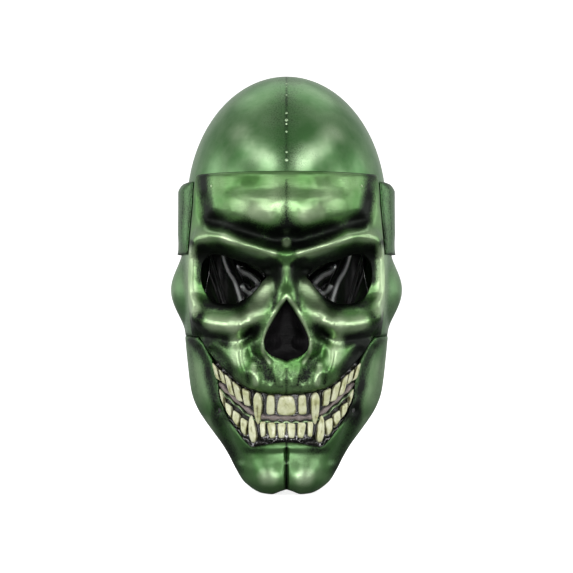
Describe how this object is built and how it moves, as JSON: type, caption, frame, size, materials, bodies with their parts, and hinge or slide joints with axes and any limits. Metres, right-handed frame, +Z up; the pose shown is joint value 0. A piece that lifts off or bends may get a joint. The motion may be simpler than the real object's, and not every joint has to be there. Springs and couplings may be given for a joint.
{
  "type": "skull mask",
  "caption": "Full-head skull mask of green metallic shells: smooth hood, skull face plate with open eyes and nose, lower jaw, and two rows of separate ivory teeth with fangs.",
  "frame": {"origin": "on the surface the mask stands on, below the middle of its box", "axes": "+Z up from the neck to the crown, the face looks along -Y, +X to the right in a view of the face"},
  "size_m": [0.1902, 0.2208, 0.337],
  "materials": {
    "green_shell": "green metallic paint with a dark wash in the hollows",
    "green_face": "bright green metallic paint with a black wash in the hollows",
    "tooth_ivory": "aged ivory with brown staining, satin",
    "gum_black": "glossy black",
    "bite_grey": "grey-brown, satin",
    "lining_black": "glossy black, crushed into folds"
  },
  "bodies": {
    "root": {"bite_strip": "bite_grey", "face_plate": "green_face", "gum_plate": "gum_black", "hood": "green_shell", "hood_lining": "lining_black", "jaw": "green_shell", "lower_fang_left": "tooth_ivory", "lower_fang_right": "tooth_ivory", "lower_incisor_1_left": "tooth_ivory", "lower_incisor_1_right": "tooth_ivory", "lower_incisor_2_left": "tooth_ivory", "lower_incisor_2_right": "tooth_ivory", "lower_incisor_3_left": "tooth_ivory", "lower_incisor_3_right": "tooth_ivory", "lower_molar_1_left": "tooth_ivory", "lower_molar_1_right": "tooth_ivory", "lower_molar_2_left": "tooth_ivory", "lower_molar_2_right": "tooth_ivory", "lower_molar_3_left": "tooth_ivory", "lower_molar_3_right": "tooth_ivory", "lower_molar_4_left": "tooth_ivory", "lower_molar_4_right": "tooth_ivory", "nose_cavity": "gum_black", "side_pad_left": "green_shell", "side_pad_right": "green_shell", "upper_fang_left": "tooth_ivory", "upper_fang_right": "tooth_ivory", "upper_incisor": "tooth_ivory", "upper_lateral_left": "tooth_ivory", "upper_lateral_right": "tooth_ivory", "upper_molar_1_left": "tooth_ivory", "upper_molar_1_right": "tooth_ivory", "upper_molar_2_left": "tooth_ivory", "upper_molar_2_right": "tooth_ivory", "upper_molar_3_left": "tooth_ivory", "upper_molar_3_right": "tooth_ivory", "upper_molar_4_left": "tooth_ivory", "upper_molar_4_right": "tooth_ivory", "upper_molar_5_left": "tooth_ivory", "upper_molar_5_right": "tooth_ivory"}
  },
  "joints": []
}
